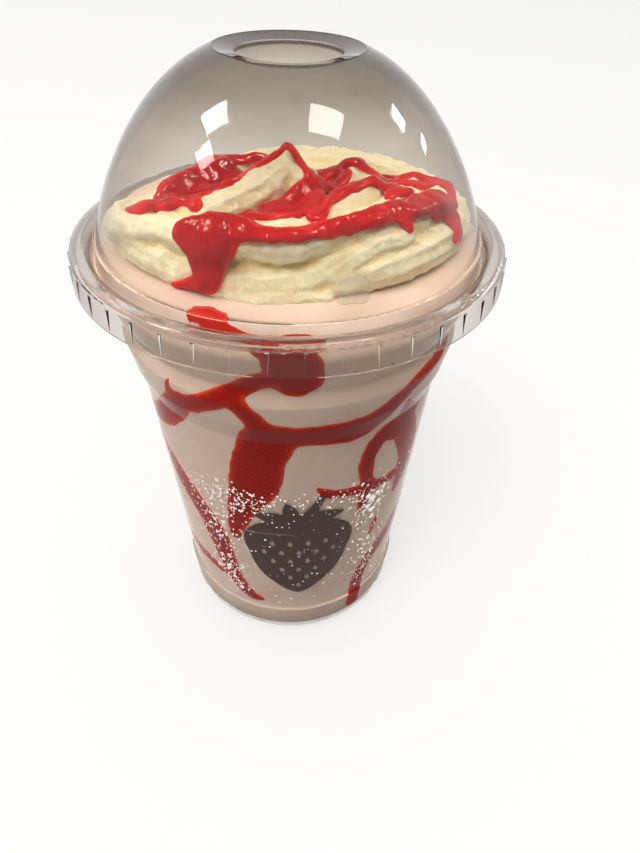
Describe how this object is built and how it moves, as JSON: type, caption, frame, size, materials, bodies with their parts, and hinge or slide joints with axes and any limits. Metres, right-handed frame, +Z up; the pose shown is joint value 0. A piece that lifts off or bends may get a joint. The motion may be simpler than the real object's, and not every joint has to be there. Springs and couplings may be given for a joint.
{
  "type": "strawberry milkshake",
  "caption": "Pink milkshake in a clear plastic cup under a clear dome lid with a straw hole, topped with whipped cream and red syrup.",
  "frame": {"origin": "centre of the foot ring, on the surface that the cup stands on", "axes": "+Z up along the cup's axis, -Y towards the front, where the syrup runs down the cream"},
  "size_m": [0.1012, 0.1012, 0.1591],
  "materials": {
    "clear_plastic": "thin clear thermoformed plastic, glossy",
    "milkshake": "opaque pale pink milk drink, soft sheen",
    "whipped_cream": "pale warm cream, soft",
    "syrup": "thick red strawberry syrup, wet gloss",
    "print": "thin dark print on the cup's wall"
  },
  "bodies": {
    "root": {"cup": "clear_plastic", "dome_lid": "clear_plastic", "milkshake": "milkshake", "whipped_cream": "whipped_cream"}
  },
  "joints": []
}
